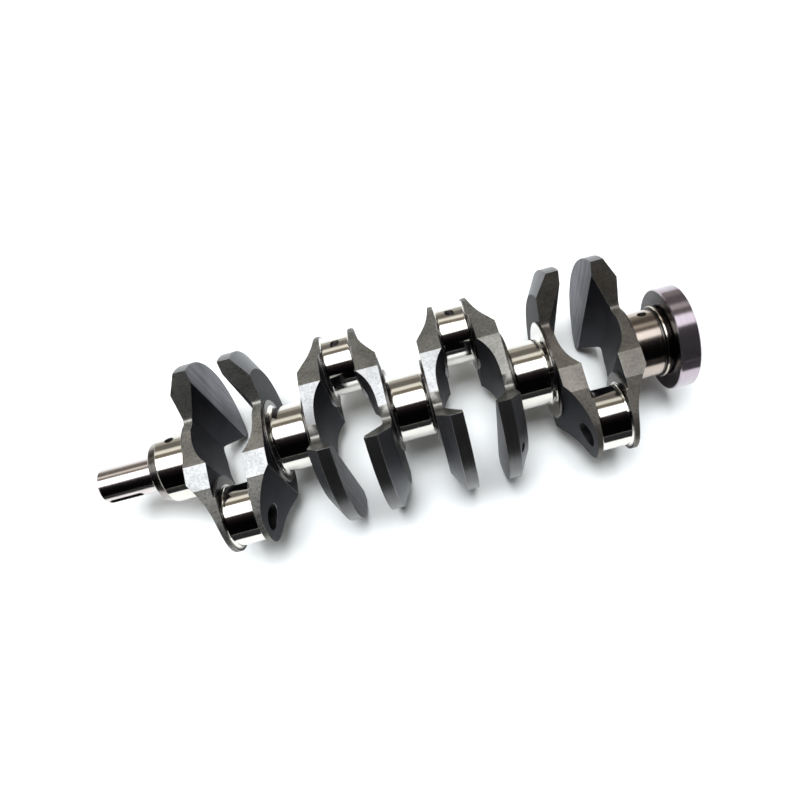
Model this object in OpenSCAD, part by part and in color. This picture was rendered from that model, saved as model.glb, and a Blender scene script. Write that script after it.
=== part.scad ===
// Four-cylinder crankshaft with five main bearings and eight counterweights.
// The shaft lies along X: nose at -X, flywheel flange at +X, origin at the
// centre of the third main journal. The throws lie in the XY plane.

/* [Layout] */
// Distance between neighbouring main journals, mm
bore_spacing = 90; // [88:0.5:96]
// Distance from the main axis to each crankpin axis, half the stroke, mm
throw_radius = 50; // [46:0.5:52]

/* [Main journals] */
// Ground diameter of the five main journals, mm
main_d = 50; // [48:0.5:52]
// Clear width between the thrust faces of a main journal, mm
main_w = 26.8; // [25.6:0.2:28]
// Radius of the fillet at the end of a main journal, mm
main_fillet = 2.8; // [1.6:0.2:3]
// Diameter of the thrust ring on the main side of each web, mm
thrust_ring_d = 64; // [60:1:66]
// Extra diameter of the thrust ring that carries the thrust bearing, mm
thrust_bearing_extra = 10; // [4:1:10]

/* [Crankpins] */
// Ground diameter of the four crankpins, mm
pin_d = 45; // [42:0.5:47]
// Clear width between the cheeks of a crankpin, mm
pin_w = 22.6; // [21:0.2:24]
// Radius of the fillet at the end of a crankpin, mm
pin_fillet = 1.8; // [1:0.2:2.4]
// Diameter of the cheek ring round each crankpin, mm
pin_ring_d = 62; // [58:1:64]
// Diameter of the bore drilled through each crankpin to lighten it, mm
light_bore_d = 19; // [14:0.5:20]
// Distance of that bore outward from the crankpin axis, mm
light_bore_offset = 8.5; // [4:0.5:8.5]

/* [Webs] */
// Distance from the main centre to the main side of a web, mm
web_inner = 15.5; // [15:0.1:16.5]
// Distance from the main centre to the crankpin side of a web, mm
web_outer = 32; // [31:0.1:33]
// Half width of the web at its widest, across the cheeks, mm
cheek_half = 37; // [35.5:0.5:38]
// Half width of the web at its waist, mm
waist_half = 26.5; // [26:0.5:28]
// Radius of the rounded end of the web, about the crankpin axis, mm
tip_r = 26; // [25:0.5:28]
// Thickness of the web left at its rounded end, mm
tip_thick = 1.8; // [1.4:0.2:4]
// Thickness of the web at its waist, where the crankpin side is scooped out, mm
waist_thick = 6.6; // [6:0.2:9]

/* [Counterweights] */
// Radius of the counterweight rim, about the main axis, mm
cw_r = 72.5; // [70:0.5:76]
// Distance from the main axis to the corners of the rim, along the throw, mm
cw_corner = 43; // [41:0.5:46]
// Distance from the main axis to the shoulder facing the crankpin, mm
shoulder_y = 37.5; // [36:0.5:39]
// Distance from the main centre to the crankpin face of the counterweight, mm
cw_outer = 33.5; // [32.5:0.1:35]
// Radius where the turned bevel on the main side starts, mm
bevel_r = 57; // [52:0.5:62]
// Depth of that bevel at the rim, mm
bevel_depth = 9; // [6:0.5:11]
// Diameter of the balancing hole in the sixth web, mm
balance_d = 7; // [5:0.5:8]
// Angle of the balancing hole round the main axis, from the middle of the rim, degrees
balance_angle = 19; // [14:1:30]
// Distance of the balancing hole inside the rim, mm
balance_inset = 5; // [5:0.5:9]

/* [Oil drillings] */
// Diameter of the slanted oil drilling to a crankpin, mm
oil_d = 4.5; // [3.5:0.5:5]
// Diameter of the radial oil drilling in a main journal, mm
oil_main_d = 5.5; // [5.5:0.1:6]
// Diameter of the chamfer at the mouth of an oil drilling, mm
oil_mouth_d = 7; // [6.5:0.5:8]
// Angle of the mouth in main journals 1 and 5, from the side opposite the pin, degrees
oil_end_angle = 57; // [50:1:65]
// Angle of the mouth in main journals 2 and 4, from the side opposite the pin, degrees
oil_inner_angle = 75; // [70:1:80]
// Angle of the mouth in a crankpin, from the outward throw direction, degrees
oil_pin_angle = 70; // [60:1:75]

/* [Nose] */
// Diameter of the nose that carries the timing sprocket and the pulley, mm
nose_d = 27; // [24:0.5:30]
// Length of the nose in front of its collar, mm
nose_len = 45; // [38:0.5:50]
// Diameter of the front of the tapered collar that ends the nose, mm
collar_d = 45; // [40:0.5:46]
// Diameter of the rear of that collar, where it meets the first main journal, mm
collar_rear_d = 48; // [46.5:0.1:48.4]
// Length of the collar, mm
collar_len = 6.5; // [5:0.5:8]
// Length of the first main journal in front of its centre, mm
front_land = 10.5; // [9:0.5:12]
// Width of the keyway, mm
key_w = 5; // [4:0.5:7]
// Depth of the keyway below the top of the nose, mm
key_depth = 3; // [2.5:0.1:4]
// Length of the keyway over its round ends, mm
key_len = 26; // [20:1:30]
// Distance from the end of the nose to the keyway, mm
key_setback = 3; // [2.5:0.5:6]
// Tapping drill diameter of the pulley bolt hole, mm
nose_thread_d = 10.8; // [8.5:0.1:12]
// Depth of the pulley bolt hole, mm
nose_thread_len = 32; // [25:1:36]

/* [Flange] */
// Diameter of the flywheel flange, mm
flange_d = 76; // [74:1:80]
// Thickness of the flange, mm
flange_len = 15; // [15:0.5:18]
// Diameter of the polished land between the fifth main journal and the flange, mm
land_d = 53.5; // [52:0.5:58]
// Distance from the fifth main journal to the flange, mm
land_len = 5.5; // [5:0.5:6.5]
// Width of the land itself, mm
land_w = 3; // [2.5:0.5:3.5]
// Width of the groove between the fifth main journal and the land, mm
groove_w = 1; // [0.8:0.1:1.5]
// Depth of that groove below the journal, mm
groove_depth = 1; // [0.8:0.1:1.5]
// Length of the fifth main journal behind its centre, up to the groove, mm
rear_reach = 7.5; // [6:0.5:9]
// Number of tapped flywheel holes
bolt_count = 8; // [6, 8]
// Diameter of the circle of flywheel holes, mm
bolt_circle_d = 55; // [52:0.5:58]
// Tapping drill diameter of the flywheel holes, mm
bolt_hole_d = 8.5; // [8.5:0.1:9]
// Depth of the flywheel holes, mm
bolt_hole_len = 13; // [11:0.5:14]
// Diameter of the pilot bore for the gearbox input shaft, mm
pilot_d = 22; // [20:0.5:28]
// Depth of the pilot bore, mm
pilot_len = 15; // [12:0.5:20]

/* [Hidden] */
$fn = 96;
eps = 0.01;
far = 90;
main_r = main_d / 2;
pin_r = pin_d / 2;
thrust_x = main_w / 2;
ring_x = bore_spacing / 2 - pin_w / 2;
front_x = -2 * bore_spacing - front_land;
collar_x = front_x - collar_len;
nose_x = collar_x - nose_len;
land_x = 2 * bore_spacing + rear_reach;
flange_x = land_x + land_len;
rear_x = flange_x + flange_len;
edge = 0.8;
steel = "lightsteelblue";
polished = "gainsboro";
forged = "slategray";

// Outline of a web, along the throw and across it
waist_y = -21;
ridge_y = 20;
flank_y = -10;
flank_half = 33;
heel_y = 38;
heel_half = 33.5;
waist_fillet = 5;

// Section of a web, along the shaft and along the throw
cove_y = 32.5;
cove_power = 2.5;
scoop_top_y = 20;
scoop_power = 3.4;
scoop_low_y = -16;
scoop_fillet = 4;
scoop_x = web_inner + waist_thick;
tip_y = throw_radius + tip_r + 4;
curve_steps = 16;
corner_steps = 6;

// Places along the shaft. Webs 1 and 2 hold pin 1, webs 3 and 4 pin 2, and so on.
function main_x(i) = (i - 3) * bore_spacing;
function pin_x(i) = (i - 2.5) * bore_spacing;
function pin_dir(i) = i == 1 || i == 4 ? -1 : 1;
function web_pin(k) = ceil(k / 2);
function web_main(k) = floor(k / 2) + 1;
function web_side(k) = k % 2 == 1 ? 1 : -1;

// The main journal that feeds oil to a pin, and the web the drilling runs through
function feed_main(i) = i < 3 ? i : i + 1;
function feed_web(i) = [1, 3, 6, 8][i - 1];

function unit(v) = v / norm(v);
function turn(v, angle) = [v[0] * cos(angle) - v[1] * sin(angle), v[0] * sin(angle) + v[1] * cos(angle)];

// Points that round off the corner p, between the directions to a and b, to radius r
function corner(p, a, b, r) =
    let (u = unit(a - p), v = unit(b - p), half = acos(u * v) / 2)
    let (centre = p + unit(u + v) * r / sin(half))
    let (start = p + u * r / tan(half) - centre, end = p + v * r / tan(half) - centre)
    let (sweep = (180 - 2 * half) * sign(cross(start, end)))
    [for (i = [0 : corner_steps]) centre + turn(start, sweep * i / corner_steps)];

// A disc or cylinder about the X axis, from x0 to x1
module rod(r, x0, x1)
    translate([x0, 0, 0]) rotate([0, 90, 0]) cylinder(r = r, h = x1 - x0);

// A solid turned about the X axis from a 2D shape drawn as [radius, x]
module turned() rotate([0, 90, 0]) rotate_extrude() children();

// A 2D shape drawn as [y, z], carried along X from x0 to x1
module across(x0, x1)
    translate([x0, 0, 0]) rotate([90, 0, 90]) linear_extrude(height = x1 - x0) children();

// Half section of a rod with a chamfer at each end, drawn as [radius, x]
module rod_section(r, x0, x1, c0, c1)
    polygon([[0, x0], [r - c0, x0], [r, x0 + c0], [r, x1 - c1], [r - c1, x1], [0, x1]]);

// Quarter-round fillet of radius f that widens a rod of radius r as it meets the face at x
module end_fillet(r, x, side, f)
    difference() {
        translate([r - eps, side > 0 ? x - f : x]) square([f + eps, f]);
        translate([r + f, x - side * f]) circle(r = f);
    }

// Chamfered mouth of an oil drilling, for a journal of radius r, pointing along Z
module oil_mouth(r, hole_d) {
    depth = (oil_mouth_d - hole_d) / 2;
    translate([0, 0, r - depth]) cylinder(d1 = hole_d, d2 = oil_mouth_d + 2 * depth, h = 2 * depth);
}

// Oil: a radial hole in the feeding main journal, and a slanted one from there to the pin.
// Drawn with the pin toward +Y and the main journal at the origin.
module oil_drilling(side, main_angle) {
    pin_place = [side * bore_spacing / 2, throw_radius, 0];
    reach = pin_place + pin_r * [0, cos(oil_pin_angle), sin(oil_pin_angle)];
    lean = acos(reach[2] / norm(reach));
    heading = atan2(reach[1], reach[0]);
    rotate([0, lean, heading]) cylinder(d = oil_d, h = norm(reach) + 4);
    rotate([90 + main_angle, 0, 0]) {
        translate([0, 0, -oil_main_d]) cylinder(d = oil_main_d, h = main_r + 2 * oil_main_d);
        oil_mouth(main_r, oil_main_d);
    }
    translate(pin_place) rotate([oil_pin_angle - 90, 0, 0]) oil_mouth(pin_r, oil_d);
}

// The drilling that feeds pin i, in its place
module placed_drilling(i)
    translate([main_x(feed_main(i)), 0, 0]) rotate([pin_dir(i) < 0 ? 180 : 0, 0, 0])
        oil_drilling(web_side(feed_web(i)), pin_dir(i) < 0 ? oil_end_angle : oil_inner_angle);

// The bore that lightens pin i, running through both of its webs
module light_bore(i)
    translate([pin_x(i), pin_dir(i) * (throw_radius + light_bore_offset), 0])
        rod(light_bore_d / 2, -bore_spacing / 2, bore_spacing / 2);

// Outline of a web: round end on the crankpin, cheeks, waist, and counterweight rim
module web_outline() {
    waist = [waist_y, waist_half];
    flank = [flank_y, flank_half];
    rim_corner = [-cw_corner, sqrt(cw_r * cw_r - cw_corner * cw_corner)];
    flare = waist + unit(rim_corner - waist) * far / 2;
    heel = [heel_y, heel_half];
    pin_c = [throw_radius, 0];
    back = heel - pin_c;
    start = atan2(back[1], back[0]) - acos(tip_r / norm(back));
    touch = pin_c + tip_r * [cos(start), sin(start)];
    half = concat([[-far, flare[1]], flare], corner(waist, rim_corner, flank, waist_fillet),
        [flank, [ridge_y, cheek_half], heel, touch]);
    other = [for (i = [len(half) - 1 : -1 : 0]) [half[i][0], -half[i][1]]];
    difference() {
        union() {
            polygon(concat(half, other));
            translate(pin_c) circle(r = tip_r);
        }
        difference() {
            translate([-2 * far, -far]) square([2 * far + waist_y - 9, 2 * far]);
            circle(r = cw_r);
        }
    }
}

// Section of a web: main side with its cove toward the pin, crankpin side with its scoop
module web_section() {
    tip_x = web_outer - tip_thick;
    cove = [for (i = [0 : curve_steps])
        let (f = i / curve_steps)
        [tip_x - (tip_x - web_inner) * pow(1 - f, cove_power), cove_y + f * (tip_y - cove_y)]];
    scoop = [for (i = [0 : curve_steps])
        let (f = 1 - i / curve_steps)
        [scoop_x + (web_outer - scoop_x) * pow(f, scoop_power),
         scoop_low_y + f * (scoop_top_y - scoop_low_y)]];
    shoulder = [cw_outer, -shoulder_y];
    bottom = corner([scoop_x, waist_y - 1], [scoop_x, 0], shoulder, scoop_fillet);
    polygon(concat([[web_inner, -far]], cove, [[web_outer, tip_y]], scoop,
        bottom, [shoulder, [cw_outer, -far]]));
}

// Turned bevel that thins the counterweight toward its rim on the main side
module rim_bevel() {
    slope = bevel_depth / (cw_r - bevel_r);
    over = 3;
    turned() polygon([[bevel_r, web_inner], [cw_r + over, web_inner + slope * (cw_r + over - bevel_r)],
        [cw_r + over, 0], [bevel_r, 0]]);
}

// One web with its thrust ring and cheek ring, drawn with its pin toward +Y
module web_shape(ring_d) {
    difference() {
        intersection() {
            linear_extrude(height = 2 * far, center = true) web_section();
            across(0, bore_spacing / 2) web_outline();
        }
        rim_bevel();
    }
    turned() rod_section(ring_d / 2, thrust_x, web_inner + eps, 0.5, 0);
    intersection() {
        across(web_outer - 2, ring_x) web_outline();
        translate([0, throw_radius, 0])
            turned() rod_section(pin_ring_d / 2, web_outer - 2, ring_x, 0, 0.5);
    }
}

// Balancing hole, drilled square to the turned bevel
module balance_hole() {
    slope = bevel_depth / (cw_r - bevel_r);
    hole_r = cw_r - balance_inset;
    hole_x = web_inner + slope * (hole_r - bevel_r);
    rotate([180 - balance_angle, 0, 0]) translate([hole_x, hole_r, 0]) rotate([0, 0, -atan(slope)])
        rotate([0, -90, 0]) translate([0, 0, -9]) cylinder(d = balance_d, h = 20);
}

module web(k) {
    pin = web_pin(k);
    side = web_side(k);
    color(forged) difference() {
        translate([main_x(web_main(k)), 0, 0]) mirror([side < 0 ? 1 : 0, 0, 0])
            rotate([pin_dir(pin) < 0 ? 180 : 0, 0, 0]) difference() {
                web_shape(thrust_ring_d + (web_main(k) == 4 ? thrust_bearing_extra : 0));
                if (k == 6) balance_hole();
            }
        light_bore(pin);
        if (feed_web(pin) == k) placed_drilling(pin);
    }
}

// A main journal from x0 to x1, with a fillet or a chamfer at each end
module journal_body(x0, x1, fillet0, fillet1)
    turned() {
        rod_section(main_r, x0, x1, fillet0 ? 0 : edge, fillet1 ? 0 : edge);
        if (fillet0) end_fillet(main_r, x0, -1, main_fillet);
        if (fillet1) end_fillet(main_r, x1, 1, main_fillet);
    }

module main_journal(i) {
    x = main_x(i);
    color(polished) difference() {
        if (i == 1) journal_body(front_x, x + thrust_x, false, true);
        else if (i == 5) journal_body(x - thrust_x, land_x, true, false);
        else journal_body(x - thrust_x, x + thrust_x, true, true);
        for (p = [1 : 4]) if (feed_main(p) == i) placed_drilling(p);
    }
}

module crank_pin(i) {
    color(polished) difference() {
        translate([pin_x(i), pin_dir(i) * throw_radius, 0]) turned() {
            rod_section(pin_r, -pin_w / 2, pin_w / 2, 0, 0);
            end_fillet(pin_r, -pin_w / 2, -1, pin_fillet);
            end_fillet(pin_r, pin_w / 2, 1, pin_fillet);
        }
        light_bore(i);
        placed_drilling(i);
    }
}

// Keyway with round ends, on the side of the first crankpin
module keyway() {
    x0 = nose_x + key_setback;
    translate([0, -nose_d / 2 + key_depth, 0]) rotate([90, 0, 0]) {
        translate([x0 + key_w / 2, -key_w / 2, 0]) cube([key_len - key_w, key_w, nose_d]);
        for (x = [x0 + key_w / 2, x0 + key_len - key_w / 2])
            translate([x, 0, 0]) cylinder(d = key_w, h = nose_d);
    }
}

module nose() {
    color(steel) difference() {
        turned() rod_section(nose_d / 2, nose_x, collar_x, 1.5, 0);
        keyway();
        rod(nose_thread_d / 2, nose_x - eps, nose_x + nose_thread_len);
        turned() polygon([[0, nose_x - eps], [nose_thread_d / 2 + 1.2, nose_x - eps],
            [nose_thread_d / 2, nose_x + 1.2], [0, nose_x + 1.2]]);
    }
}

// Tapered collar, larger at the journal than at the nose
module nose_collar() {
    color(steel) turned() polygon([[0, collar_x], [collar_d / 2 - edge, collar_x],
        [collar_d / 2, collar_x + edge], [collar_rear_d / 2, front_x], [0, front_x]]);
}

// Groove behind the fifth main journal, the land, and a second groove in front of the flange
module rear_land() {
    color(polished) turned() {
        rod_section(main_r - groove_depth, land_x, flange_x, 0, 0);
        rod_section(land_d / 2, land_x + groove_w, land_x + groove_w + land_w, 0.4, 0.4);
    }
}

module flywheel_flange() {
    color(steel) difference() {
        turned() rod_section(flange_d / 2, flange_x, rear_x, edge, edge);
        for (i = [0 : bolt_count - 1]) rotate([i * 360 / bolt_count + 180 / bolt_count, 0, 0])
            translate([0, bolt_circle_d / 2, 0])
                rod(bolt_hole_d / 2, rear_x - bolt_hole_len, rear_x + eps);
        rod(pilot_d / 2, rear_x - pilot_len, rear_x + eps);
    }
}

nose();
nose_collar();
main_journal(1);  // main_journal_1
main_journal(2);  // main_journal_2
main_journal(3);  // main_journal_3
main_journal(4);  // main_journal_4
main_journal(5);  // main_journal_5
crank_pin(1);  // crank_pin_1
crank_pin(2);  // crank_pin_2
crank_pin(3);  // crank_pin_3
crank_pin(4);  // crank_pin_4
web(1);  // web_1
web(2);  // web_2
web(3);  // web_3
web(4);  // web_4
web(5);  // web_5
web(6);  // web_6
web(7);  // web_7
web(8);  // web_8
rear_land();
flywheel_flange();
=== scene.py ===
"""Looks for the four-cylinder crankshaft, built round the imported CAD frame. All lengths are metres."""
import math
from collections import namedtuple

import bmesh
import bpy
from mathutils import Matrix, Vector


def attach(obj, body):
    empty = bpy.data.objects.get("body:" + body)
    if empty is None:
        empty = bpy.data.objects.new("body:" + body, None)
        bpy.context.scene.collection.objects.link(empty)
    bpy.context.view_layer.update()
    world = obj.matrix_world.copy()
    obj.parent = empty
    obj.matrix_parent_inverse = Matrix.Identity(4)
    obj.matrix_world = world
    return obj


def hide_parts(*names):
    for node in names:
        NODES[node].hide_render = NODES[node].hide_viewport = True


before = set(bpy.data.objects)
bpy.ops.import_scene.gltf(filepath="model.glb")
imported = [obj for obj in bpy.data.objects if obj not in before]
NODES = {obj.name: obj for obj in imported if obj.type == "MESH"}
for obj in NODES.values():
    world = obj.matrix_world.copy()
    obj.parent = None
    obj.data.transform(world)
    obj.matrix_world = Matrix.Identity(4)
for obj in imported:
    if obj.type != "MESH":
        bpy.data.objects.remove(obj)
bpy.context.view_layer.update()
SCENE = bpy.context.scene

MM = 0.001

# Sizes of the shaft, as in part.scad. The main axis is X.
SPACING = 90 * MM  # between neighbouring main journals
MIDDLE = 3  # the main journal at X = 0
THROW = 50 * MM  # from the main axis to a crankpin's axis
PIN_SIDE = {1: -1, 2: 1, 3: 1, 4: -1}  # the side in Y of each crankpin
MAIN_R = 25 * MM
PIN_R = 22.5 * MM
WEB_IN = 15.5 * MM  # from a main journal's middle to the web's near side
WEB_OUT = 32 * MM  # to its far side, at the crankpin
CW_OUT = 33.5 * MM  # to the counterweight's face
SHOULDER = -37.5 * MM  # the counterweight's shoulder, on the side away from the pin
BEVEL_R = 57 * MM
RIM_R = 72.5 * MM
LIGHT_R = 9.5 * MM  # the bore that lightens a crankpin
BORE_OFF = 8.5 * MM  # from the pin's axis out to that bore's
KEY_HALF = 2.5 * MM
GROOVE_R = 24 * MM
LAND_X = 2 * SPACING + 10 * MM
LAND_HALF = 1.5 * MM
FLANGE_R = 38 * MM
CHAMFER_X = {"main_journal_1": -2 * SPACING - 10.5 * MM, "main_journal_5": 2 * SPACING + 7.5 * MM}
FLOOR_Z = -58.4 * MM

# The stretch of each web's edge that a cutter has brightened, from the axis toward the pin. Web 6 has none.
MACHINED = {1: (20 * MM, 38 * MM), 2: (20 * MM, 38 * MM), 3: (-10 * MM, 20 * MM), 4: (-10 * MM, 20 * MM),
            5: (-10 * MM, 20 * MM), 6: (0, 0)}

# Webs with something of their own.
STAINED = (7, 8)
FADING = 3  # the brightened stretch fades out toward the counterweight
THRUST = (6, 7)  # a polished thrust ring
BALANCED = 6  # the balancing hole

# Limits that tell faces and edges apart. Angles are degrees between two faces.
ALONG = 0.25  # the most X in the normal of a wall that runs along X
ACROSS = 0.9  # the least X in the normal of a face across X
MOUTH_DEPTH = 1.4 * MM  # a little more than the depth of an oil mouth's chamfer
CORNER = 24  # the least angle of a corner
CREASE = 11  # the least angle of a crease between two flats
LONG = 10 * MM
WELD = 0.002 * MM  # points closer than this become one
FLAT = 0.4  # faces that meet at less than this become one
SHARP = 30
TINY = 1e-6

ROUNDING = 1.2 * MM  # the widest rounding of a web's corners


# ---------------------------------------------------------------- node helpers

class Graph:
    """Short calls for the nodes used here, on an emptied node tree."""

    def __init__(self, tree):
        self.tree = tree
        tree.nodes.clear()

    def put(self, socket, value):
        if isinstance(value, bpy.types.NodeSocket):
            self.tree.links.new(value, socket)
        else:
            socket.default_value = value

    def node(self, kind, inputs=None, **props):
        """A new node. inputs names its sockets, each with a value or with the output to link to it."""
        n = self.tree.nodes.new(kind)
        for name, value in props.items():
            setattr(n, name, value)
        for name, value in (inputs or {}).items():
            self.put(n.inputs[name], value)
        return n

    def math(self, op, a, b=0.0):
        return self.node("ShaderNodeMath", {0: a, 1: b}, operation=op).outputs[0]

    def blend(self, *weighted):
        """Sum of (value, weight) pairs."""
        total = 0.0
        for value, weight in weighted:
            total = self.math("ADD", total, self.math("MULTIPLY", value, weight))
        return total

    def ramp(self, value, lo, hi, out_lo=0.0, out_hi=1.0):
        """Eases from out_lo to out_hi while value goes from lo to hi."""
        ends = {"From Min": lo, "From Max": hi, "To Min": out_lo, "To Max": out_hi}
        n = self.node("ShaderNodeMapRange", {"Value": value, **ends}, interpolation_type="SMOOTHSTEP")
        return n.outputs["Result"]

    def mix(self, fac, a, b):
        """Colour a at 0 and b at 1. The node's colour sockets are inputs 6 and 7 and output 2."""
        return self.node("ShaderNodeMix", {0: fac, 6: a, 7: b}, data_type="RGBA").outputs[2]


class Finish(Graph):
    """A new material with one Principled shader."""

    def __init__(self, name):
        self.mat = bpy.data.materials.new(name)
        self.mat.use_nodes = True
        super().__init__(self.mat.node_tree)
        self.bsdf = self.node("ShaderNodeBsdfPrincipled")
        self.node("ShaderNodeOutputMaterial", {"Surface": self.bsdf.outputs["BSDF"]})

    def coords(self):
        return self.node("ShaderNodeTexCoord").outputs["Object"]

    def noise(self, scale, detail, rough, offset=(0, 0, 0)):
        """Noise with so many waves a metre along X, Y and Z."""
        place = self.node("ShaderNodeMapping", {"Vector": self.coords(), "Scale": scale,
                                                "Location": offset})
        n = self.node("ShaderNodeTexNoise", {"Vector": place.outputs["Vector"], "Scale": 1.0,
                                             "Detail": detail, "Roughness": rough})
        return n.outputs["Fac"]

    def shader(self, **inputs):
        """Sets the shader's inputs. A name's underscores stand for spaces."""
        for name, value in inputs.items():
            self.put(self.bsdf.inputs[name.replace("_", " ")], value)

    def glint(self, metallic, grey=None):
        """How metallic it is and, where grey is given, how dim its highlights are."""
        self.shader(Metallic=metallic)
        if grey:
            self.shader(Specular_IOR_Level=0.35, Specular_Tint=(grey, grey, grey, 1))

    def steel(self, colour, rough, height, strength, depth):
        """Colour, roughness, and bumps of the given depth that follow height."""
        bump = self.node("ShaderNodeBump", {"Strength": strength, "Distance": depth, "Height": height})
        self.shader(Base_Color=colour, Roughness=rough, Normal=bump.outputs["Normal"])
        return self.mat


def rgb(r, g, b):
    """Linear colour from 0..255 display values."""
    def linear(c):
        c /= 255
        return c / 12.92 if c <= 0.04045 else ((c + 0.055) / 1.055) ** 2.4
    return (linear(r), linear(g), linear(b), 1)


def shade(colour, factor):
    """The same colour, darker."""
    return tuple(c * factor for c in colour[:3]) + (1,)


def ground_steel(name, tint, rough, scratch):
    """Journal ground and polished round the shaft: fine and coarse rings round X, oil haze."""
    g = Finish(name)
    rings = g.noise((2600, 12, 12), 2, 0.6)
    coarse = g.noise((700, 6, 6), 2, 0.5, (3, 1, 2))
    haze = g.noise((60, 60, 60), 4, 0.55)
    g.glint(1.0)
    colour = g.mix(g.ramp(haze, 0.35, 0.7), tint, shade(tint, 0.93))
    rough = g.blend((rough, 1.0), (g.ramp(coarse, 0.45, 0.75), 0.05), (g.ramp(haze, 0.4, 0.8), 0.03))
    return g.steel(colour, rough, g.blend((rings, 1.0), (coarse, 0.6)), scratch, 0.02 * MM)


def turned_steel(name, light, dark, rough, bump, metal=1.0):
    """Lathe-turned surface: visible feed lines round X, cloudy tone."""
    g = Finish(name)
    feed = g.noise((1500, 5, 5), 3, 0.65)
    cloud = g.noise((45, 45, 45), 4, 0.6)
    g.glint(metal)
    tone = g.blend((g.ramp(feed, 0.3, 0.7), 0.6), (g.ramp(cloud, 0.3, 0.7), 0.4))
    rough = g.blend((rough, 1.0), (feed, 0.12))
    return g.steel(g.mix(tone, dark, light), rough, feed, bump, 0.04 * MM)


def forged_steel(name, light, dark, rough, grain, speck, metal, stain=None, fade=None):
    """Shot-blasted forging skin with fine dark pits and mottled oxide.

    stain is the colour of its blots. fade is a stretch of Y in which it goes from dark to its own tone."""
    g = Finish(name)
    pits = g.noise((1400, 1400, 1400), 3, 0.7)
    mottle = g.noise((560, 560, 560), 4, 0.72)
    cloud = g.noise((60, 60, 60), 4, 0.6, (2, 5, 1))
    g.glint(metal, 0.45)
    tone = g.blend((g.ramp(mottle, 0.3, 0.7), 0.55), (g.ramp(cloud, 0.3, 0.7), 0.45))
    colour = g.mix(tone, dark, light)
    if stain:
        blot = g.noise((34, 34, 34), 6, 0.68, (7, 1, 3))
        colour = g.mix(g.math("MULTIPLY", g.ramp(blot, 0.5, 0.72), 0.5), colour, stain)
    colour = g.mix(g.math("MULTIPLY", g.ramp(pits, 0.54, 0.7), speck), colour, shade(dark, 0.5))
    if fade:
        y = g.node("ShaderNodeSeparateXYZ", {"Vector": g.coords()}).outputs["Y"]
        colour = g.mix(g.ramp(y, *fade), shade(dark, 0.6), colour)
    rough = g.blend((rough, 1.0), (g.ramp(mottle, 0.3, 0.7), 0.07))
    return g.steel(colour, rough, g.math("ADD", pits, mottle), grain, 0.06 * MM)


def milled_steel(name, light, dark, rough, lines_per_metre):
    """Counterweight face finished by a cutter: long parallel lines."""
    g = Finish(name)
    lines = g.noise(lines_per_metre, 3, 0.6)
    broad = g.noise(tuple(v / 4 for v in lines_per_metre), 2, 0.5, (1, 2, 3))
    cloud = g.noise((50, 50, 50), 3, 0.5, (4, 4, 4))
    g.glint(0.75, 0.5)
    tone = g.blend((g.ramp(lines, 0.36, 0.64), 0.5), (g.ramp(broad, 0.35, 0.65), 0.3),
                   (g.ramp(cloud, 0.3, 0.7), 0.2))
    rough = g.blend((rough, 1.0), (lines, 0.15))
    return g.steel(g.mix(tone, dark, light), rough, lines, 0.5, 0.08 * MM)


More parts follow.
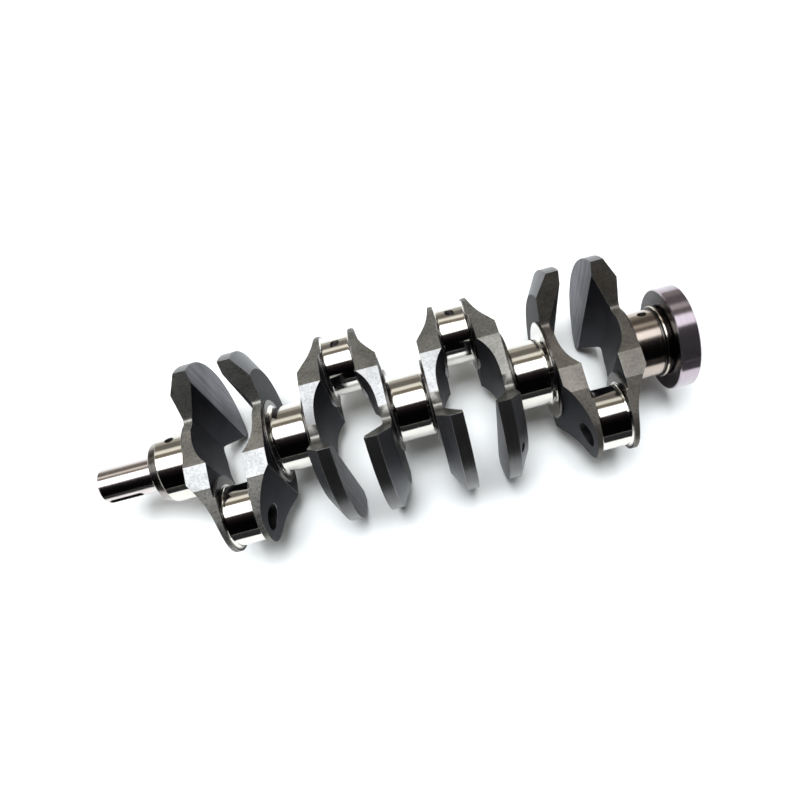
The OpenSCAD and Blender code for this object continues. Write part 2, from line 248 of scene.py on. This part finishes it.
# Ground: name, colour, roughness, bump. Turned: name, light, dark, roughness, bump and how metallic.
# Forged: name, light, dark, roughness, bump, strength of the pits and how metallic.
MAT = {
    "ground": ground_steel("ground_steel", rgb(222, 219, 212), 0.07, 0.25),
    "ground_worn": ground_steel("ground_steel_worn", rgb(182, 169, 160), 0.17, 0.5),
    "pin": ground_steel("ground_steel_pin", rgb(226, 223, 217), 0.06, 0.2),
    "nose": ground_steel("ground_steel_nose", rgb(212, 203, 202), 0.14, 0.4),
    "collar": turned_steel("turned_collar", rgb(170, 163, 158), rgb(128, 122, 118), 0.15, 0.35),
    "flange": turned_steel("turned_flange", rgb(188, 176, 185), rgb(168, 157, 166), 0.08, 0.2, 0.95),
    # the flange's front face: the same turned steel as its rim, darkened with painted shade for the dark
    # things it mirrors
    "flange_face_painted_shade": turned_steel("turned_flange_face", rgb(70, 62, 66), rgb(48, 42, 45), 0.17, 0.3),
    "land": turned_steel("turned_land", rgb(214, 206, 194), rgb(190, 182, 172), 0.08, 0.2),
    "forged": forged_steel("forged_face", rgb(56, 56, 62), rgb(38, 38, 44), 0.4, 0.7, 0.6, 0.6),
    "edge": forged_steel("machined_edge", rgb(176, 176, 177), rgb(130, 130, 130), 0.17, 0.5, 0.5, 0.84),
    "edge_fading": forged_steel("machined_edge_fading", rgb(176, 176, 177), rgb(130, 130, 130), 0.17, 0.5,
                                0.6, 0.84, fade=(-16 * MM, 14 * MM)),
    "edge_dull": forged_steel("forged_edge", rgb(150, 148, 143), rgb(102, 100, 96), 0.26, 0.7, 0.3, 0.8),
    "edge_stained": forged_steel("forged_edge_stained", rgb(134, 129, 122), rgb(92, 88, 83), 0.32, 0.7,
                                 0.4, 0.8, stain=rgb(114, 95, 78)),
    "flank": forged_steel("forged_flank", rgb(92, 90, 88), rgb(58, 56, 55), 0.24, 0.7, 0.3, 0.9),
    "worn": forged_steel("worn_edge", rgb(172, 171, 169), rgb(150, 149, 147), 0.2, 0.3, 0.3, 0.85),
    "crescent": milled_steel("milled_crescent", rgb(150, 149, 156), rgb(70, 70, 76), 0.3, (300, 1300, 14)),
    "bevel": turned_steel("turned_bevel", rgb(98, 98, 102), rgb(74, 74, 79), 0.34, 0.4, 0.75),
    "rim": turned_steel("turned_rim", rgb(98, 97, 97), rgb(80, 79, 80), 0.26, 0.2, 0.92),
    # rings and groove floors: a rougher finish, darkened with painted shade
    "ring": turned_steel("turned_ring_painted_shade", rgb(98, 94, 91), rgb(72, 68, 66), 0.2, 0.3),
    "thrust": ground_steel("ground_thrust_ring", rgb(206, 204, 198), 0.12, 0.3),
    # bore and mouth: dark colours that are painted shade inside drillings, keyways and oil-mouth chamfers
    "bore": turned_steel("drilled_bore_painted_shade", rgb(48, 46, 48), rgb(28, 26, 28), 0.4, 0.5, 0.6),
    "mouth": turned_steel("oil_mouth", rgb(62, 59, 57), rgb(42, 40, 39), 0.3, 0.3, 0.9),
}


# ---------------------------------------------------------------- finished copies of the CAD nodes

def roundness(edge):
    """How much of the bevel's width an edge of a web gets: none along a round stretch."""
    if len(edge.link_faces) != 2:
        return 0.0
    angle = math.degrees(edge.calc_face_angle())
    across_the_web = abs((edge.verts[1].co - edge.verts[0].co).x)
    if angle > CORNER:
        return 1.0 if across_the_web > LONG else 0.6
    return 0.3 if angle > CREASE and edge.calc_length() > LONG else 0.0


def copy_of(node, width=0.0):
    """A finished copy of a CAD node: coplanar faces merged and, with a width, its corners rounded."""
    mesh = NODES[node].data.copy()
    mesh.name = node + "_finished"
    bm = bmesh.new()
    bm.from_mesh(mesh)
    bmesh.ops.remove_doubles(bm, verts=bm.verts, dist=WELD)
    bmesh.ops.dissolve_limit(bm, angle_limit=math.radians(FLAT), verts=bm.verts, edges=bm.edges)
    if width:
        weight = bm.edges.layers.float.new("bevel_weight_edge")
        for edge in bm.edges:
            edge[weight] = roundness(edge)
    bm.to_mesh(mesh)
    bm.free()
    obj = bpy.data.objects.new(node + "_finished", mesh)
    SCENE.collection.objects.link(obj)
    for poly in mesh.polygons:
        poly.use_smooth = True
    if width:
        bevel = obj.modifiers.new("round_edges", "BEVEL")
        bevel.width = width
        bevel.segments = 3
        bevel.limit_method = "WEIGHT"
        bevel.use_clamp_overlap = True
        bevel.miter_outer = "MITER_ARC"
        flat = obj.modifiers.new("flat_faces", "WEIGHTED_NORMAL")
        flat.mode = "FACE_AREA"
        flat.weight = 80
        flat.keep_sharp = True
    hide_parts(node)
    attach(obj, "root")
    return obj


def turned_normals(obj, axis_y, bead):
    """Exact normals on surfaces turned about X, so reflections run straight past the oil holes.

    bead is the X of the middle and the half width of a wall that is shaded as slightly rounded, or None."""
    mesh = obj.data
    mesh.set_sharp_from_angle(angle=math.radians(SHARP))
    normals = [Vector(n.vector) for n in mesh.corner_normals]
    for poly in mesh.polygons:
        out = Vector((0, poly.center.y - axis_y, poly.center.z))
        if out.length < TINY:
            continue
        out.normalize()
        sideways = abs(poly.normal.dot(out.cross(Vector((1, 0, 0)))))
        # the wall of an oil hole or a keyway isn't turned about this axis
        if sideways > 0.12:
            continue
        sign = 1 if poly.normal.dot(out) > 0 else -1
        steepness = math.sqrt(max(0.0, 1 - poly.normal.x ** 2))
        for i in poly.loop_indices:
            co = mesh.vertices[mesh.loops[i].vertex_index].co
            radial = Vector((0, co.y - axis_y, co.z))
            if radial.length < TINY:
                continue
            if bead and sign > 0 and steepness > 0.99 and abs(co.x - bead[0]) <= bead[1]:
                lean = 0.5 * (co.x - bead[0]) / bead[1]
                normals[i] = (radial.normalized() + Vector((lean, 0, 0))).normalized()
            else:
                normals[i] = Vector((poly.normal.x, 0, 0)) + radial.normalized() * sign * steepness
    mesh.normals_split_custom_set([tuple(n) for n in normals])


Face = namedtuple("Face", "centre normal points")


def paint(obj, names, pick):
    """Gives each face the material that pick(face) names."""
    mesh = obj.data
    mesh.materials.clear()
    for name in names:
        mesh.materials.append(MAT[name])
    for poly in mesh.polygons:
        points = [mesh.vertices[v].co for v in poly.vertices]
        poly.material_index = names.index(pick(Face(poly.center, poly.normal, points)))


def web_pick(k):
    """Picks a web's materials. x is measured from its main journal's middle, and y toward its pin."""
    main_x = (k // 2 + 1 - MIDDLE) * SPACING
    side = 1 if k % 2 == 1 else -1
    toward = PIN_SIDE[(k + 1) // 2]

    def pick(face):
        c, n = face.centre, face.normal
        x = side * (c.x - main_x)
        y = toward * c.y
        xs = [side * (p.x - main_x) for p in face.points]
        nx = side * n.x
        r = math.hypot(c.y, c.z)
        # the lightening bores and the balancing hole take the dark bore colour, which is painted shade
        if abs(nx) < ALONG and math.hypot(y - THROW - BORE_OFF, c.z) < LIGHT_R + 0.5 * MM:
            return "bore"
        # a ring's end stands proud of the web's side, while its wall may touch that side
        slack = 0.1 * MM if abs(nx) < ACROSS else -0.3 * MM
        # a ring takes the darker ring colour, which is painted shade on a rougher finish
        if max(xs) < WEB_IN + slack:
            return "thrust" if k in THRUST and nx < -ACROSS else "ring"
        if min(xs) > WEB_OUT - slack and y > 0:
            return "ring"
        if nx > ACROSS and x > CW_OUT - 0.3 * MM and y < SHOULDER:
            return "crescent"
        if nx < -0.3 and r > BEVEL_R - 1 * MM and y < -20 * MM:
            return "bevel"
        # the wall of the balancing hole faces sideways
        if k == BALANCED and r > BEVEL_R and y < -50 * MM and abs(n.y * c.z - n.z * c.y) > 0.2 * r:
            return "bore"
        if abs(nx) < 0.2 and r > RIM_R - 0.5 * MM and y < -30 * MM:
            return "rim"
        if abs(nx) >= ALONG:
            return "forged"
        if y < SHOULDER:
            return "flank"
        if k in STAINED:
            return "edge_stained"
        start, end = MACHINED[k]
        if not start < y < end:
            return "edge_dull"
        return "edge_fading" if k == FADING else "edge"
    return pick


def journal_pick(node, radius, axis_y, ground):
    """Picks a journal's materials: ground wall, drillings dark with painted shade, a chamfer at each oil
    mouth dark with painted shade.
    """
    bore_y = axis_y + math.copysign(BORE_OFF, axis_y)

    def pick(face):
        deepest = min(math.hypot(p.y - axis_y, p.z) for p in face.points)
        in_light_bore = axis_y != 0 and all(
            math.hypot(p.y - bore_y, p.z) < LIGHT_R + 0.1 * MM for p in face.points)
        on_chamfer = node in CHAMFER_X and all(abs(p.x - CHAMFER_X[node]) < 1 * MM for p in face.points)
        if abs(face.normal.x) >= 0.98:
            return ground
        if deepest < radius - MOUTH_DEPTH or in_light_bore:
            return "bore"
        return "mouth" if deepest < radius - 0.1 * MM and not on_chamfer else ground
    return pick


def nose_pick(face):
    """The pulley bolt hole and the keyway in the nose's -Y side are dark with painted shade."""
    c, n = face.centre, face.normal
    bolt_hole = math.hypot(c.y, c.z) < 7 * MM and abs(n.x) < ACROSS
    keyway = c.y < -9 * MM and abs(n.y) < 0.5 and abs(c.z) < KEY_HALF + 0.2 * MM and abs(n.x) < 0.98
    return "bore" if bolt_hole or keyway else "nose"


def land_pick(face):
    """The grooves' floors and walls are darker than the land: painted shade, on a rougher finish."""
    c, n = face.centre, face.normal
    return "ring" if math.hypot(c.y, c.z) < GROOVE_R + 0.3 * MM or abs(n.x) > ACROSS else "land"


def flange_pick(face):
    """The front face's dark colour is painted shade, the darkness it mirrors, and the holes are dark with
    painted shade.
    """
    c, n = face.centre, face.normal
    if n.x < -ACROSS:
        return "flange_face_painted_shade"
    return "flange" if math.hypot(c.y, c.z) > FLANGE_R - 2 * MM or n.x > ACROSS else "bore"


def turned(node, names, pick, axis_y=0.0, bead=None):
    """A finished copy of a node that is turned about an axis along X."""
    obj = copy_of(node)
    turned_normals(obj, axis_y, bead)
    paint(obj, names, pick)
    return obj


def journal(node, radius, axis_y, ground):
    obj = turned(node, [ground, "bore", "mouth"], journal_pick(node, radius, axis_y, ground), axis_y)


WEB_NAMES = ["forged", "edge", "edge_fading", "edge_dull", "edge_stained", "flank", "crescent", "bevel",
             "rim", "ring", "thrust", "bore", "worn"]
for k in range(1, 9):
    web = copy_of(f"web_{k}", ROUNDING)
    web.modifiers["round_edges"].material = WEB_NAMES.index("worn")
    paint(web, WEB_NAMES, web_pick(k))

for i in range(1, 6):
    journal(f"main_journal_{i}", MAIN_R, 0.0, "ground_worn" if i == 5 else "ground")
for i in range(1, 5):
    journal(f"crank_pin_{i}", PIN_R, PIN_SIDE[i] * THROW, "pin")

nose = turned("nose", ["nose", "bore"], nose_pick)

collar = turned("nose_collar", ["collar"], lambda face: "collar")

land = turned("rear_land", ["land", "ring"], land_pick, bead=(LAND_X, LAND_HALF))

flange = turned("flywheel_flange", ["flange", "flange_face_painted_shade", "bore"], flange_pick)


# ---------------------------------------------------------------- stage, light and camera

def plain(name, low, high, rough):
    """A material that drifts softly between two colours."""
    g = Finish(name)
    g.shader(Base_Color=g.mix(g.noise((8, 8, 8), 2, 0.5), low, high), Roughness=rough)
    return g.mat


def plane(name, x0, x1, y0, y1, z, mat):
    mesh = bpy.data.meshes.new(name)
    mesh.from_pydata([(x0, y0, z), (x1, y0, z), (x1, y1, z), (x0, y1, z)], [], [(0, 1, 2, 3)])
    mesh.materials.append(mat)
    obj = bpy.data.objects.new(name, mesh)
    SCENE.collection.objects.link(obj)
    return obj


def hide_from(obj, *rays):
    for ray in rays:
        setattr(obj, "visible_" + ray, False)


def tables():
    """White paper under the shaft, and a dark table near the camera that only reflections show."""
    paper = plain("paper", (0.855, 0.87, 0.874, 1), (0.89, 0.905, 0.91, 1), 0.8)
    dark = plain("dark_table", (0.006, 0.006, 0.008, 1), (0.01, 0.01, 0.012, 1), 0.9)
    plane("floor", -6, 6, -6, 6, FLOOR_Z, paper)
    card = plane("near_table", -4, 4, -6, -0.182, FLOOR_Z + 0.5 * MM, dark)
    hide_from(card, "camera", "diffuse", "shadow", "transmission")


def backdrop():
    """Pale dome round the set. Only the camera sees it, so it lights nothing and shows in no reflection."""
    mesh = bpy.data.meshes.new("backdrop")
    bm = bmesh.new()
    bmesh.ops.create_uvsphere(bm, u_segments=48, v_segments=24, radius=2.6)
    bm.to_mesh(mesh)
    bm.free()
    for poly in mesh.polygons:
        poly.use_smooth = True
    g = Finish("pale_backdrop")
    glow = g.mix(g.noise((0.6, 0.6, 0.6), 2, 0.5), (0.8, 0.82, 0.83, 1), (0.9, 0.91, 0.92, 1))
    g.shader(Base_Color=(0, 0, 0, 1), Specular_IOR_Level=0.0, Emission_Color=glow, Emission_Strength=1.0)
    mesh.materials.append(g.mat)
    obj = bpy.data.objects.new("backdrop", mesh)
    SCENE.collection.objects.link(obj)
    hide_from(obj, "diffuse", "glossy", "shadow", "transmission")


# The light round the shaft's axis: degrees above the back horizon, display red, green, blue, and gain.
BANDS = [(0, 196, 194, 184, 1), (14, 192, 188, 178, 1), (20, 140, 136, 130, 1),
         (27, 118, 114, 108, 1), (42, 122, 118, 112, 1), (48, 240, 236, 226, 1.2),
         (56, 240, 236, 226, 1.2), (61, 130, 122, 108, 1), (71, 130, 122, 110, 1),
         (77, 250, 253, 255, 3.2), (104, 250, 253, 255, 3.2), (110, 60, 52, 54, 1),
         (124, 22, 17, 20, 1), (140, 4, 4, 6, 1), (180, 4, 4, 6, 1)]


def studio():
    """Bands of light round the shaft's axis: a soft box overhead, a strip behind, a dark room in front."""
    world = bpy.data.worlds.new("studio")
    SCENE.world = world
    world.use_nodes = True
    g = Graph(world.node_tree)
    direction = g.node("ShaderNodeTexCoord").outputs["Generated"]
    x, y, z = g.node("ShaderNodeSeparateXYZ", {"Vector": direction}).outputs
    angle = g.math("MULTIPLY", g.math("ARCTAN2", z, y), 180 / math.pi)
    # the box starts 5 degrees lower on the left, and ends earlier toward the right
    low_edge = g.math("MULTIPLY", g.ramp(x, 0.03, 0.09, 5.0, 0.0), g.ramp(angle, 84, 92, 1.0, 0.0))
    past = g.math("MAXIMUM", g.math("SUBTRACT", x, 0.08), 0.0)
    high_edge = g.math("MULTIPLY", g.math("MULTIPLY", past, 28.0), g.ramp(angle, 80, 100, 0.0, 1.0))
    angle = g.math("ADD", angle, g.math("ADD", low_edge, high_edge))
    half_turn = g.node("ShaderNodeMapRange", {"Value": angle, "From Max": 180})
    bands = g.node("ShaderNodeValToRGB", {0: half_turn.outputs["Result"]})
    stops = bands.color_ramp
    stops.interpolation = "LINEAR"
    while len(stops.elements) > 1:
        stops.elements.remove(stops.elements[-1])
    for i, (degrees, red, green, blue, gain) in enumerate(BANDS):
        stop = stops.elements[0] if i == 0 else stops.elements.new(degrees / 180)
        stop.position = degrees / 180
        stop.color = tuple(c * gain for c in rgb(red, green, blue)[:3]) + (1,)
    # the light fades toward both ends of the axis
    fade = g.math("MULTIPLY", g.ramp(x, 0.1, 0.65, 1.0, 0.14), g.ramp(x, -0.85, -0.5, 0.14, 1.0))
    light = g.node("ShaderNodeBackground", {"Color": bands.outputs["Color"], "Strength": fade})
    g.node("ShaderNodeOutputWorld", {"Surface": light.outputs["Background"]})


def fill_light():
    """Broad, slightly cool light overhead, which reflections don't show."""
    light = bpy.data.lights.new("fill", "AREA")
    light.shape = "RECTANGLE"
    light.size = 1.1
    light.size_y = 0.9
    light.energy = 50
    light.color = (0.965, 0.99, 1.0)
    obj = bpy.data.objects.new("fill", light)
    SCENE.collection.objects.link(obj)
    place = Vector((0, -0.1, 2.2))
    obj.location = place
    obj.rotation_mode = "QUATERNION"
    obj.rotation_quaternion = (Vector((0, 0, 0)) - place).to_track_quat("-Z", "Y")
    obj.visible_glossy = False


def camera():
    """The photo's viewpoint, from a camera fitted to the shaft. The shifts put its axis off the middle."""
    lens = bpy.data.cameras.new("camera")
    lens.sensor_width = 36
    lens.lens = 28.91
    lens.shift_x = -0.0502
    lens.shift_y = 0.0803
    lens.clip_start = 0.01
    lens.clip_end = 50
    lens.dof.use_dof = False
    right = Vector((0.9668, -0.2331, -0.1048))
    up = Vector((0.2552, 0.9037, 0.3439))
    back = Vector((0.0145, -0.3593, 0.9331))
    pose = Matrix((right, up, back)).transposed().to_4x4()
    pose.translation = Vector((0.0164, -0.2200, 0.4371))
    obj = bpy.data.objects.new("camera", lens)
    SCENE.collection.objects.link(obj)
    obj.matrix_world = pose
    SCENE.camera = obj


tables()
backdrop()
studio()
fill_light()
camera()
SCENE.view_settings.view_transform = "Standard"
SCENE.view_settings.look = "None"
